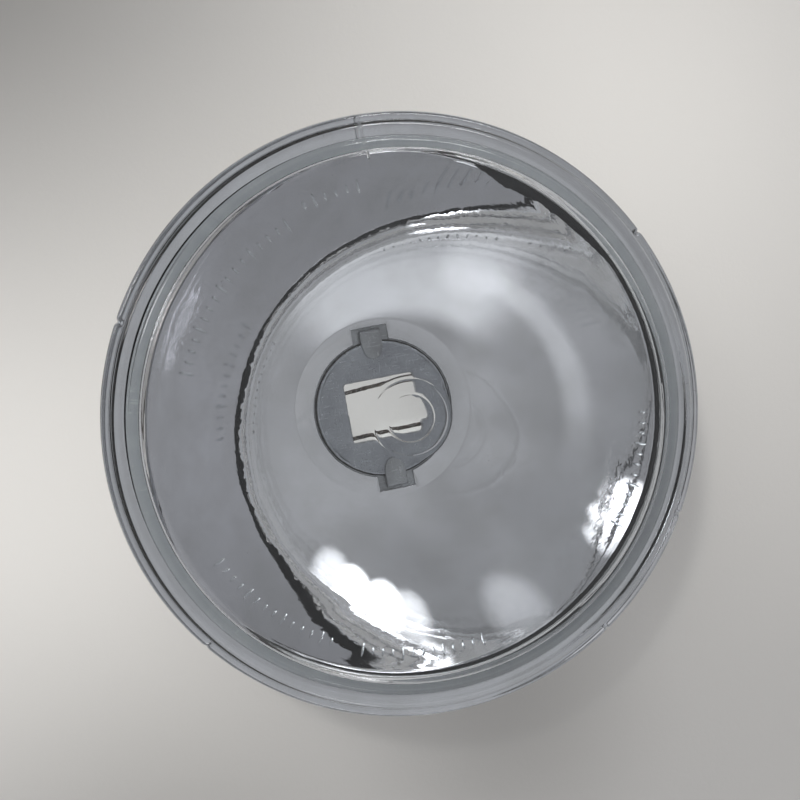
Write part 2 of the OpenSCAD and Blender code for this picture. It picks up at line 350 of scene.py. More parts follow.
def make_turning_group():
    """Rings left by spinning or turning about the lamp's axis, broken up by a slow drift."""
    group, start, end = new_group("turning_rings", {"Rings": 900.0, "Drift": 40.0}, ["Height"])
    drift = noise(group, scaled_place(group, start.outputs["Drift"]), 2.0)
    turns = calc(group, "MULTIPLY", axis_radius(group), start.outputs["Rings"])
    wave = calc(group, "SINE", calc(group, "ADD", turns, calc(group, "MULTIPLY", drift, 9.0)))
    height = calc(group, "MULTIPLY", wave, spread(group, drift, 0.2, 1.0, 0.3, 0.7))
    group.links.new(height, end.inputs["Height"])
    return group


def make_edge_group():
    """A worn band at one radius about the lamp's axis, with a broken edge."""
    group, start, end = new_group("worn_band", {"Radius": 0.0242, "Width": 0.0006, "Scale": 700.0}, ["Mask"])
    off = calc(group, "ABSOLUTE", calc(group, "SUBTRACT", axis_radius(group), start.outputs["Radius"]))
    near = calc(group, "DIVIDE", off, start.outputs["Width"])
    ragged = calc(group, "ADD", near, noise(group, scaled_place(group, start.outputs["Scale"]), 4.0))
    group.links.new(spread(group, ragged, 1.0, 0.0, 0.7, 1.3), end.inputs["Mask"])
    return group


GRAIN = make_grain_group()
SCUFFS = make_scuff_group()
SPECKS = make_speck_group()
TURNING = make_turning_group()
WORN_BAND = make_edge_group()


# ---- Materials ----

SOCKETS = {"colour": "Base Color", "rough": "Roughness", "metallic": "Metallic", "ior": "IOR",
           "transmission": "Transmission Weight", "specular": "Specular IOR Level"}


def new_material(name, **values):
    m = bpy.data.materials.new(name)
    m.use_nodes = True
    shader = m.node_tree.nodes["Principled BSDF"]
    for key, value in values.items():
        shader.inputs[SOCKETS[key]].default_value = value
    return m, m.node_tree, shader


def placed(tree, group, **values):
    node = tree.nodes.new("ShaderNodeGroup")
    node.node_tree = group
    for key, value in values.items():
        node.inputs[key.replace("_", " ").title()].default_value = value
    return node.outputs


def tinted(tree, mask, one, other):
    """One colour where the mask is 0, the other where it is 1. Either may be a socket."""
    node = tree.nodes.new("ShaderNodeMix")
    node.data_type = "RGBA"
    tree.links.new(mask, node.inputs["Factor"])
    sockets = [s for s in node.inputs if s.type == "RGBA"]
    for socket, colour in zip(sockets, (one, other)):
        feed(tree, socket, colour if isinstance(colour, bpy.types.NodeSocket) else (*colour, 1))
    return next(s for s in node.outputs if s.type == "RGBA")


def raised(tree, shader, height, distance, strength=1.0):
    """Feeds a height, in metres times distance, to the shader's normal."""
    node = tree.nodes.new("ShaderNodeBump")
    node.inputs["Distance"].default_value = distance
    node.inputs["Strength"].default_value = strength
    tree.links.new(height, node.inputs["Height"])
    tree.links.new(node.outputs["Normal"], shader.inputs["Normal"])


def roughened(tree, shader, base, specks, amount):
    """Feeds a roughness to the shader, with more of it where there are specks."""
    rough = calc(tree, "ADD", base, calc(tree, "MULTIPLY", specks["Mask"], amount))
    tree.links.new(rough, shader.inputs["Roughness"])


def clear_where(tree, shader, mask, colour=(1, 1, 1, 1)):
    """Lets light straight through the surface where the mask is 1."""
    clear = tree.nodes.new("ShaderNodeBsdfTransparent")
    clear.inputs["Color"].default_value = colour
    mix = tree.nodes.new("ShaderNodeMixShader")
    joined_up(tree, [
        (mask, mix.inputs[0]),
        (shader.outputs[0], mix.inputs[1]),
        (clear.outputs[0], mix.inputs[2]),
        (mix.outputs[0], tree.nodes["Material Output"].inputs["Surface"]),
    ])


def make_glass():
    """Clear pressed glass, slightly wavy, with dust on it. Light goes through it with little loss."""
    m, tree, shader = new_material("clear_pressed_glass", colour=(0.95, 0.972, 0.98, 1), rough=0.0, ior=1.5,
                                   transmission=1.0)
    grain = placed(tree, GRAIN, cloud_scale=45.0, grain_scale=160.0)
    specks = placed(tree, SPECKS, scale=700.0, size=0.07)
    flow = calc(tree, "ADD", grain["Tone"], calc(tree, "MULTIPLY", grain["Grain"], 0.12))
    raised(tree, shader, flow, 0.00012, 0.35)
    haze = spread(tree, grain["Tone"], 0.0, 0.012, 0.5, 0.8)
    roughened(tree, shader, haze, specks, 0.25)
    path = tree.nodes.new("ShaderNodeLightPath")
    clear_where(tree, shader, path.outputs["Is Shadow Ray"], (0.87, 0.9, 0.91, 1))
    return m


def make_mirror():
    """Vapour-deposited aluminium: a few pinholes, cloudy places, and the faint rings of the spun sheet."""
    m, tree, shader = new_material("aluminised_mirror", metallic=1.0)
    grain = placed(tree, GRAIN, cloud_scale=90.0, grain_scale=1400.0)
    specks = placed(tree, SPECKS, scale=1500.0, size=0.1)
    turning = placed(tree, TURNING, rings=420.0, drift=30.0)
    cloudy = spread(tree, grain["Tone"], 0.0, 1.0, 0.35, 0.7)
    clean = tinted(tree, cloudy, (0.795, 0.79, 0.815), (0.74, 0.735, 0.75))
    tree.links.new(tinted(tree, specks["Mask"], clean, (0.32, 0.31, 0.3)), shader.inputs["Base Color"])
    dull = spread(tree, grain["Tone"], 0.012, 0.05, 0.45, 0.8)
    roughened(tree, shader, dull, specks, 0.4)
    swell = calc(tree, "ADD", turning["Height"], calc(tree, "MULTIPLY", grain["Tone"], 2.0))
    raised(tree, shader, swell, 0.00003, 0.22)
    return m


def make_sheet(name, clean, dull, shine, dirt, rough=(0.28, 0.5), metallic=1.0, worn_at=None, worn=None,
               clouds=140.0, grit=2600.0):
    """A plated or coated sheet: cloudy plating, grain, scuffs, specks, and a worn band where it has one."""
    m, tree, shader = new_material(name, metallic=metallic)
    grain = placed(tree, GRAIN, cloud_scale=clouds, grain_scale=grit)
    scuffs = placed(tree, SCUFFS, scale=380.0, least=0.6)
    specks = placed(tree, SPECKS, scale=2400.0, size=0.15)
    colour = tinted(tree, spread(tree, grain["Tone"], 0.0, 1.0, 0.3, 0.72), clean, dull)
    colour = tinted(tree, calc(tree, "MULTIPLY", scuffs["Mask"], 0.6), colour, shine)
    if worn_at:
        band = placed(tree, WORN_BAND, radius=worn_at * MM, width=0.0007, scale=900.0)
        colour = tinted(tree, band["Mask"], colour, worn or shine)
    tree.links.new(tinted(tree, specks["Mask"], colour, dirt), shader.inputs["Base Color"])
    texture = spread(tree, grain["Tone"], rough[0], rough[1], 0.3, 0.75)
    texture = calc(tree, "SUBTRACT", texture, calc(tree, "MULTIPLY", scuffs["Mask"], 0.1))
    roughened(tree, shader, texture, specks, 0.3)
    height = calc(tree, "ADD", grain["Grain"], calc(tree, "MULTIPLY", scuffs["Mask"], -1.2))
    raised(tree, shader, height, 0.00004, 0.6)
    return m


def make_soft(name, base, dusty, rough=(0.5, 0.8), grit=1800.0):
    """Rubber or sealant: dark, slightly lumpy, with dust in it."""
    m, tree, shader = new_material(name, specular=0.35)
    grain = placed(tree, GRAIN, cloud_scale=260.0, grain_scale=grit)
    specks = placed(tree, SPECKS, scale=800.0, size=0.18)
    colour = tinted(tree, spread(tree, grain["Tone"], 0.0, 0.5, 0.4, 0.8), base, dusty)
    tree.links.new(tinted(tree, specks["Mask"], colour, dusty), shader.inputs["Base Color"])
    tree.links.new(spread(tree, grain["Tone"], rough[0], rough[1]), shader.inputs["Roughness"])
    raised(tree, shader, grain["Grain"], 0.00008, 0.7)
    return m


def make_wire_material():
    """Oil-tempered spring wire: brown-black, drawn lengthwise, rubbed bright in places."""
    m, tree, shader = new_material("oil_tempered_wire", metallic=0.9)
    grain = placed(tree, GRAIN, cloud_scale=330.0, grain_scale=3200.0)
    scuffs = placed(tree, SCUFFS, scale=520.0, least=0.56)
    rubbed = spread(tree, grain["Tone"], 0.0, 1.0, 0.35, 0.7)
    colour = tinted(tree, rubbed, (0.052, 0.045, 0.042), (0.12, 0.085, 0.06))
    tree.links.new(tinted(tree, scuffs["Mask"], colour, (0.42, 0.39, 0.36)), shader.inputs["Base Color"])
    tree.links.new(spread(tree, grain["Tone"], 0.26, 0.55, 0.3, 0.7), shader.inputs["Roughness"])
    raised(tree, shader, calc(tree, "ADD", grain["Grain"], scuffs["Mask"]), 0.00002, 0.5)
    return m


GLASS = make_glass()
MIRROR = make_mirror()
BACK_COAT = make_sheet("aluminised_back", (0.5, 0.51, 0.52), (0.4, 0.4, 0.405), (0.68, 0.68, 0.68),
                       (0.12, 0.115, 0.11), rough=(0.3, 0.55), clouds=60.0)
BOND = make_soft("clear_grey_bond", (0.31, 0.315, 0.33), (0.38, 0.385, 0.39), rough=(0.25, 0.45))
BEAD = make_soft("black_sealing_bead", (0.006, 0.006, 0.007), (0.018, 0.018, 0.02), rough=(0.6, 0.85))
GASKET = make_soft("black_rubber", (0.016, 0.016, 0.017), (0.075, 0.072, 0.068))
ZINC = make_sheet("zinc_plated_collar", (0.47, 0.48, 0.5), (0.38, 0.385, 0.4), (0.66, 0.67, 0.68),
                  (0.12, 0.11, 0.1), worn_at=COLLAR_R - 0.5)
CARRIER_FINISH = make_sheet("satin_carrier", (0.44, 0.455, 0.49), (0.36, 0.37, 0.405), (0.62, 0.64, 0.68),
                            (0.14, 0.14, 0.15), rough=(0.3, 0.46), worn_at=CARRIER_R)
BRACKET_ZINC = make_sheet("zinc_plated_bracket", (0.6, 0.59, 0.55), (0.47, 0.45, 0.4), (0.8, 0.79, 0.76),
                          (0.14, 0.11, 0.08), clouds=260.0)
RIVET_ZINC = make_sheet("bright_rivet", (0.66, 0.66, 0.65), (0.52, 0.52, 0.51), (0.85, 0.85, 0.84),
                        (0.1, 0.09, 0.08), rough=(0.2, 0.36), clouds=420.0)
BRASS = make_sheet("tinned_brass", (0.62, 0.56, 0.4), (0.5, 0.4, 0.22), (0.8, 0.75, 0.6),
                   (0.16, 0.12, 0.06), rough=(0.22, 0.42), clouds=300.0)
WIRE = make_wire_material()


# ---- Glass ----

SEAM_AT = 88.7
# Small chips of the rim: place in degrees, depth in millimetres, width in degrees.
CHIPS = ((27.0, 0.45, 0.35), (151.0, 0.6, 0.45), (329.5, 0.4, 0.35), (218.0, 0.25, 0.4), (303.0, 0.3, 0.3))
RING_MARKS = (5.6, 9.2)
RING_MARK_HALF = 0.4
RING_MARK_H = 0.06
SEAM_H = 0.28
SEAM_WIDTH = 0.16


def lens_outline():
    outer = RIM_R - LEDGES[0]
    middle = outer - LEDGES[1]
    inner_r = LAND_R - INNER_LEAN
    hollow_at = sorted({inner_r * i / 30 for i in range(29)} |
                       {mark + RING_MARK_HALF * k / 4 for mark in RING_MARKS for k in range(-4, 5)})
    hollow = [(r, face_at(r) - GLASS_T - ring_mark(r)) for r in hollow_at]
    crown = [(FACE_R * i / 34, face_at(FACE_R * i / 34)) for i in reversed(range(33))]
    ridges = []
    for k, r in enumerate((outer, middle, FACE_R)):
        ledge = RIM_H + k * STEP_RISE
        ridges.append((r + STEP_FOOT, ledge, FOOT_FILLET))
        ridges.append((r - STEP_LEAN, ledge + STEP_RISE, RIDGE_FILLET))
    rim = filleted([
        (*hollow[-1], 0),
        (inner_r, face_at(inner_r) - GLASS_T, 0.5),
        (LAND_R, 0, 0.4),
        (BOND_IN_R, 0, 0),
        (RIM_R - 2.2, 0, 0),
        (RIM_R, 0, 0.5),
        (RIM_R, RIM_H, RIDGE_FILLET),
        *ridges,
        (*crown[0], 0),
    ])
    return hollow[:-1] + rim + crown[1:]


def ring_mark(r):
    """How far the ring-shaped mould marks stand behind the back of the glass face."""
    nearest = min(abs(r - mark) for mark in RING_MARKS)
    return RING_MARK_H * max(0.0, 1 - (nearest / RING_MARK_HALF) ** 2) ** 2


def make_lens():
    outline = lens_outline()
    rim_rows = {i for i, (r, f) in enumerate(outline) if r > FACE_R - 1.5 and f > 0.6}
    edge_rows = {i for i, (r, f) in enumerate(outline) if r > RIM_R - 1.3}

    def worn(i, angle):
        """How far the mould seam and the chips move a row of the outline, outwards and forwards."""
        degrees = math.degrees(angle)
        dr = df = 0.0
        if i in rim_rows:
            seam = SEAM_H * math.exp(-((degrees - SEAM_AT) / SEAM_WIDTH) ** 2)
            dr += seam if outline[i][0] < RIM_R - 0.3 else 0.0
            df += seam
        if i in edge_rows:
            for place, depth, width in CHIPS:
                bite = depth * math.exp(-((degrees - place) / width) ** 2)
                dr -= bite
                df -= 0.7 * bite * (1 if outline[i][1] > 1.5 else 0)
        return dr, df

    places = [SEAM_AT] + [chip[0] for chip in CHIPS]
    mesh = turned_mesh("lens_glass", outline, finer_turn(places, 1.4, 360), shift=worn)
    piece = new_piece("lens_glass", mesh, [GLASS])
    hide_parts("lens")


def geometry_tree(name, inputs):
    """An empty geometry tree with named inputs, each (name, kind, default)."""
    tree = bpy.data.node_groups.new(name, "GeometryNodeTree")
    for way in ("INPUT", "OUTPUT"):
        tree.interface.new_socket(name="Geometry", in_out=way, socket_type="NodeSocketGeometry")
    for key, kind, value in inputs:
        socket = tree.interface.new_socket(name=key, in_out="INPUT", socket_type="NodeSocket" + kind)
        if value is not None:
            socket.default_value = value
    return tree, tree.nodes.new("NodeGroupInput"), tree.nodes.new("NodeGroupOutput")


def set_input(tree, modifier, values):
    for item in tree.interface.items_tree:
        if item.item_type == "SOCKET" and item.in_out == "INPUT" and item.name in values:
            modifier[item.identifier] = values[item.name]


def plain_result(name, seed_mesh, tree, values):
    """Runs a geometry tree on a mesh and gives back its result as a plain mesh."""
    carrier = in_scene(name + "_source", seed_mesh)
    modifier = carrier.modifiers.new(name, "NODES")
    modifier.node_group = tree
    set_input(tree, modifier, values)
    bpy.context.view_layer.update()
    made = bpy.data.meshes.new_from_object(carrier.evaluated_get(bpy.context.evaluated_depsgraph_get()))
    made.name = name
    bpy.data.objects.remove(carrier)
    made.polygons.foreach_set("use_smooth", [True] * len(made.polygons))
    return made


def make_tick_tree():
    """Grain-shaped ticks on an arc about the Y axis, every fourth one longer."""
    tree, start, end = geometry_tree("mould_ticks", (
        ("Count", "Int", 12), ("Radius", "Float", 0.05), ("Start", "Float", 0.0), ("Sweep", "Float", 1.0),
        ("Forward", "Float", 0.005), ("Tick Size", "Vector", (0.001, 0.0003, 0.0002)),
        ("Material", "Material", None)))
    nodes, links = tree.nodes, tree.links
    arc = nodes.new("GeometryNodeCurveArc")
    to_points = nodes.new("GeometryNodeCurveToPoints")
    tick = nodes.new("GeometryNodeMeshUVSphere")
    tick.inputs["Segments"].default_value = 12
    tick.inputs["Rings"].default_value = 8
    tick.inputs["Radius"].default_value = 1.0
    index = nodes.new("GeometryNodeInputIndex")
    in_four = calc(tree, "MODULO", index.outputs[0], 4.0)
    longer = calc(tree, "SUBTRACT", 1.0, calc(tree, "MINIMUM", in_four, 1.0))
    stretch = nodes.new("ShaderNodeCombineXYZ")
    links.new(calc(tree, "MULTIPLY_ADD", longer, 0.7, 1.0), stretch.inputs["X"])
    stretch.inputs["Y"].default_value = 1.0
    stretch.inputs["Z"].default_value = 1.0
    size = vector_calc(tree, "MULTIPLY", start.outputs["Tick Size"], stretch.outputs[0])
    position = nodes.new("GeometryNodeInputPosition")
    outward = nodes.new("FunctionNodeAlignEulerToVector")
    outward.axis = "X"
    on_points = nodes.new("GeometryNodeInstanceOnPoints")
    upright = nodes.new("GeometryNodeTransform")
    upright.inputs["Rotation"].default_value = (math.pi / 2, 0, 0)
    shift = nodes.new("ShaderNodeCombineXYZ")
    links.new(calc(tree, "MULTIPLY", start.outputs["Forward"], -1.0), shift.inputs["Y"])
    realize = nodes.new("GeometryNodeRealizeInstances")
    coat = nodes.new("GeometryNodeSetMaterial")
    joined_up(tree, [
        (start.outputs["Count"], arc.inputs["Resolution"]),
        (start.outputs["Radius"], arc.inputs["Radius"]),
        (start.outputs["Start"], arc.inputs["Start Angle"]),
        (start.outputs["Sweep"], arc.inputs["Sweep Angle"]),
        (arc.outputs["Curve"], to_points.inputs["Curve"]),
        (start.outputs["Count"], to_points.inputs["Count"]),
        (to_points.outputs["Points"], on_points.inputs["Points"]),
        (tick.outputs["Mesh"], on_points.inputs["Instance"]),
        (position.outputs[0], outward.inputs["Vector"]),
        (outward.outputs["Rotation"], on_points.inputs["Rotation"]),
        (size, on_points.inputs["Scale"]),
        (on_points.outputs["Instances"], realize.inputs["Geometry"]),
        (realize.outputs["Geometry"], upright.inputs["Geometry"]),
        (shift.outputs[0], upright.inputs["Translation"]),
        (upright.outputs["Geometry"], coat.inputs["Geometry"]),
        (start.outputs["Material"], coat.inputs["Material"]),
        (coat.outputs["Geometry"], end.inputs["Geometry"]),
    ])
    return tree


TICK_SIZE = (0.0011, 0.00034, 0.0002)
TICK_SUNK = 0.02
# Each arc's name, radius, start and sweep in degrees, and number of ticks.
TICK_ARCS = (("upper_left", 54.0, 112, 46, 17), ("top", 56.0, 92, 14, 6), ("right", 57.5, 322, 28, 12),
             ("lower_left", 56.5, 206, 34, 14), ("bottom", 56.5, 248, 30, 13))


def make_ticks():
    """Plain moulded ticks stand where the real glass has its moulded text."""
    tree = make_tick_tree()
    for name, r, start, sweep, count in TICK_ARCS:
        mesh = plain_result("mould_ticks_" + name, bpy.data.meshes.new("empty"), tree, {
            "Count": count, "Radius": r * MM, "Start": math.radians(start), "Sweep": math.radians(sweep),
            "Forward": (face_at(r) - GLASS_T - TICK_SUNK) * MM, "Tick Size": TICK_SIZE,
            "Material": GLASS})
        piece = in_scene("mould_ticks_" + name, mesh)
        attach(piece, "unit")


# ---- Bond and bead ----

# The unevenness of a hand-laid bead: waves to a turn, and phase of each.
WAVES = ((3, 0.9), (7, 2.3), (13, 0.7), (29, 4.1), (61, 1.9), (97, 5.2), (149, 3.3), (211, 0.4))
WAVES_FADE = 0.28
WAVES_DEPTH = 0.42


def ragged(angle, seed):
    """An uneven swell from 0 to 1 around the lamp."""
    total = sum(math.sin(n * angle + phase * seed) / n ** WAVES_FADE for n, phase in WAVES)
    return min(1.0, max(0.0, 0.5 + WAVES_DEPTH * total))


def make_bond():
    """The grey bond between the glass's land and the flange, uneven along its outer edge."""
    top, foot = -0.02, BEAD_BACK + 0.02
    outer_rows = range(6, 18)
    mesh = turned_mesh("bond_ring", filleted([
        (BOND_IN_R, top, 0.1), (BEAD_R, top, 0.2), (BEAD_R, foot, 0.2), (BOND_IN_R, foot, 0.1)]),
        shift=lambda i, angle: ((0.5 * ragged(angle, 1.0) - 0.5, 0) if i in outer_rows else (0, 0)))
    piece = new_piece("bond_ring", mesh, [BOND])


# Where the black bead stands proud, and where it ran down: its places, and how fast it starts and ends there,
# in degrees.
BEAD_LEAST = 0.06
BEAD_FROM, BEAD_TO = -118, 62
BEAD_STARTS, BEAD_ENDS = 60, 9
BEAD_RUN = 2.4
RUN_FROM, RUN_LENGTH = 24, 40
RUN_STARTS, RUN_ENDS = 12, 7
RUN_ELSEWHERE = 0.12


def squeezed_out(angle):
    """1 on the side where the bead was squeezed out, 0 where the joint stayed dry."""
    off = (math.degrees(angle) - BEAD_FROM) % 360
    length = BEAD_TO - BEAD_FROM
    if off > length:
        return 0.0
    return min(1.0, off / BEAD_STARTS, (length - off) / BEAD_ENDS)


def ran_down(angle):
    """1 where the bead also ran down over the mirror's edge."""
    off = (math.degrees(angle) - RUN_FROM) % 360
    here = min(1.0, off / RUN_STARTS, (RUN_LENGTH - off) / RUN_ENDS) if off < RUN_LENGTH else 0.0
    return max(RUN_ELSEWHERE * squeezed_out(angle), here)


def make_bead():
    """The dark bead squeezed out where the glass wall meets the mirror's mouth."""
    lean = INNER_LEAN / (face_at(LAND_R - INNER_LEAN) - GLASS_T)
    wall = [(LAND_R - lean * f - 0.08, f) for f in (0.05, 0.5, 1.0, 1.5, 2.0)]
    outline = [(LAND_R + 0.7, -0.06)] + wall + [
        (wall[-1][0] - 0.14, 2.05), (wall[-2][0] - 0.22, 1.5), (wall[-3][0] - 0.3, 0.7),
        (MOUTH_R - 0.05, -0.3), (MOUTH_R + 0.05, -0.48), (LAND_R + 0.7, -0.46)]
    # Rows of the outline: those that sink with the swell, those of them facing the beam, and the foot.
    top = {2, 3, 4, 5, 6, 7, 8}
    side = {7, 8}
    foot = {9, 10}

    def squeezed(i, angle):
        """How far the swell and the run move a row of the outline, outwards and forwards."""
        uneven = 0.12 + 0.88 * ragged(angle, 2.0) ** 1.3
        swell = BEAD_LEAST + (1 - BEAD_LEAST) * squeezed_out(angle) * uneven
        f = outline[i][1]
        down = (swell - 1.0) * f if i in top else 0.0
        if i in foot:
            run = BEAD_RUN * ran_down(angle) * (0.6 + 0.4 * ragged(angle, 3.0))
            low = f - run
            return (2 * math.sqrt(FOCAL * (low - VERTEX)) - 0.1 - outline[i][0] if run > 0.05 else 0.0), -run
        return ((0.12 * (1 - swell) if i in side else -lean * down if i in top else 0.0), down)

    mesh = turned_mesh("sealing_bead", outline, even_turn(900), shift=squeezed)
    piece = new_piece("sealing_bead", mesh, [BEAD])
    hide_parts("lens_seal")


# ---- Reflector ----

SEAT_BLEND = 0.6
MOUTH_BLEND = 0.7


def notched(angle):
    """How far out the edge of the rear hole stands at an angle, notches and all."""
    c, s = abs(math.cos(angle)), abs(math.sin(angle))
    out = HOLE_R
    if s > 0.5:
        across = HOLE_R * c
        if across < NOTCH_W / 2:
            out = (HOLE_R + NOTCH_D) / s
        if out * c > NOTCH_W / 2:
            out = NOTCH_W / 2 / c
    return max(HOLE_R, out)


def make_reflector():
    """The bowl, a mirror inside and coated sheet behind, with its seat, notched rear hole and flange."""
    steps = 72
    inside = [Vector((r, bowl_at(r))) for r in
              (SEAT_R + SEAT_BLEND + (MOUTH_R - MOUTH_BLEND - SEAT_R - SEAT_BLEND) * i / steps
               for i in range(steps + 1))]
    outside = []
    for p in reversed(inside):
        slope = math.atan(p.x / (2 * FOCAL))
        outside.append(Vector((p.x + SHEET_T * math.sin(slope), p.y - SHEET_T * math.cos(slope))))
    seat = bowl_at(SEAT_R)
    neck = filleted([
        (outside[-1].x, outside[-1].y, 0),
        (SEAT_R + 0.1, SEAT_BACK, 0.5),
        (HOLE_R, SEAT_BACK, 0.15),
        (HOLE_R, seat, 0.25),
        (SEAT_R, seat, 0.8),
        (inside[0].x, inside[0].y, 0),
    ])[1:-1]
    flange = filleted([
        (inside[-1].x, inside[-1].y, 0),
        (MOUTH_R, MOUTH, 0.7),
        (FLANGE_R, MOUTH, 0.3),
        (FLANGE_R, MOUTH - SHEET_T, 0.3),
        (MOUTH_R + SHEET_T, MOUTH - SHEET_T, 0.8),
        (outside[0].x, outside[0].y, 0),
    ])[1:-1]
    outline = neck + inside + flange + outside
    edge = {i for i, p in enumerate(neck) if p[0] < HOLE_R + 0.5}
    mirror_from = len(neck) // 2
    mirror_to = len(neck) + len(inside) + len(flange) // 2
    corner = math.degrees(math.acos(NOTCH_W / 2 / HOLE_R))
    far_corner = math.degrees(math.atan2(HOLE_R + NOTCH_D, NOTCH_W / 2))
    corners = [a for side in (0, 180) for a in (side + corner, side + far_corner,
                                                side + 180 - corner, side + 180 - far_corner)]
    turn = finer_turn(corners, 0.4, 320, 4)
    mesh = turned_mesh("mirror_bowl", outline, turn,
                       slot_of=lambda a, b: 0 if mirror_from <= a < mirror_to else 1,
                       shift=lambda i, angle: (notched(angle) - HOLE_R if i in edge else 0, 0))
    piece = new_piece("mirror_bowl", mesh, [MIRROR, BACK_COAT])
    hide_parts("reflector")


# ---- Collar, gasket and carrier ----

def at(x, up, forward):
    return Vector((x, -forward, up)) * MM


def shell(name, rows, closed=True):
    """Skins a list of equal closed rows of points into one closed shell."""
    verts = [p for row in rows for p in row]
    n = len(rows[0])
    faces = []
    for i in range(len(rows) if closed else len(rows) - 1):
        j = (i + 1) % len(rows)
        faces += [(i * n + k, i * n + (k + 1) % n, j * n + (k + 1) % n, j * n + k) for k in range(n)]
    if not closed:
        faces += [tuple(reversed(range(n))), tuple((len(rows) - 1) * n + k for k in range(n))]
    mesh = bpy.data.meshes.new(name)
    mesh.from_pydata(verts, [], faces)
    tidy_shell(mesh)
    return mesh


def tongue_shell(side):
    """One tongue: out through the notch, bent over the carrier, tapered to a round tip."""
    root = HOLE_R + NOTCH_D - TONGUE_GAP - TONGUE_T / 2
    top = TONGUE_TOP - TONGUE_T / 2
    tip = CARRIER_R - TONGUE_REACH
    path = [Vector((root, SEAT_BACK - 0.3)), Vector((root, top - 1.0))]
    over = root - TONGUE_BEND
    path += [Vector((over + TONGUE_BEND * math.cos(a), top - TONGUE_BEND + TONGUE_BEND * math.sin(a)))
             for a in (math.pi / 2 * k / 6 for k in range(1, 7))]
    path += [Vector((over + (tip - over) * k / 10, top)) for k in range(1, 11)]
    rows = []
    for i, p in enumerate(path):
        ahead = (path[min(i + 1, len(path) - 1)] - path[max(i - 1, 0)]).normalized()
        across = Vector((-ahead.y, ahead.x))
        left = p.x - tip
        half = TONGUE_W / 2
        if i > 7:
            full = min(1.0, (left + 0.02) / 2.3)
            half *= (0.72 + 0.28 * min(1.0, left / 3.6)) * math.sqrt(max(0.03, full * (2 - full)))
        section = []
        for k in range(20):
            a = 2 * math.pi * k / 20
            u = math.copysign(abs(math.cos(a)) ** 0.35, math.cos(a)) * half
            v = math.copysign(abs(math.sin(a)) ** 0.35, math.sin(a)) * TONGUE_T / 2
            section.append(at(u, side * (p.x + across.x * v), p.y + across.y * v))
        rows.append(section)
    return shell("tongue", rows, closed=False)


def merged(name, meshes):
    """One mesh of several closed shells."""
    bm = bmesh.new()
    for mesh in meshes:
        bm.from_mesh(mesh)
    out = bpy.data.meshes.new(name)
    bm.to_mesh(out)
    bm.free()
    tidy_shell(out)
    return out


def make_collar():
    wall_in = COLLAR_R - COLLAR_T
    ring = turned_mesh("collar_ring", filleted([
        (COLLAR_IN_R, SEAT_BACK - CLEAR, 0.25),
        (COLLAR_R, SEAT_BACK - CLEAR, 0.9),
        (COLLAR_R, COLLAR_END, 0.3),
        (wall_in, COLLAR_END, 0.3),
        (wall_in, SEAT_BACK - COLLAR_T, 0.5),
        (COLLAR_IN_R, SEAT_BACK - COLLAR_T, 0.25),
    ]), even_turn(240))
    mesh = merged("clinch_collar", [ring, tongue_shell(1), tongue_shell(-1)])
    piece = new_piece("clinch_collar", mesh, [ZINC])
    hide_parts("neck_collar")


def make_gasket():
    inner, foot, top = COLLAR_IN_R - 0.02, SEAT_BACK + CLEAR, GASKET_TOP - CLEAR
    mesh = turned_mesh("carrier_gasket_ring", filleted([
        (inner, foot, 0.15), (GASKET_R, foot, 0.2),
        (GASKET_R, top, 0.2), (inner, top, 0.15)]), even_turn(180))
    piece = new_piece("carrier_gasket_ring", mesh, [GASKET])
    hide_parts("carrier_gasket")


WINDOW_FILLET = 0.8
BEND_STEPS = 7
SIDE_STEPS = 16


def window_points(margin):
    """The bulb window's outline, keyed on its right, grown by a margin."""
    w, h = WINDOW_W / 2 + margin, WINDOW_H / 2 + margin
    key = WINDOW_W / 2 + KEY_D + margin
    low, high = -KEY_DROP - KEY_H / 2 - margin, -KEY_DROP + KEY_H / 2 + margin
    round_out, round_in = WINDOW_FILLET + margin, max(0.1, WINDOW_FILLET - margin)
    bends = filleted([
        (w, high, round_in), (w, h, round_out), (-w, h, round_out), (-w, -h, round_out), (w, -h, round_out),
        (w, low, round_in), (key, low, round_out), (key, high, round_out)], BEND_STEPS)
    points = []
    for i, p in enumerate(bends):
        points.append(p)
        if i % (BEND_STEPS + 1) == BEND_STEPS:
            ahead = bends[(i + 1) % len(bends)]
            points += [Vector(p).lerp(ahead, k / SIDE_STEPS) for k in range(1, SIDE_STEPS)]
    return points


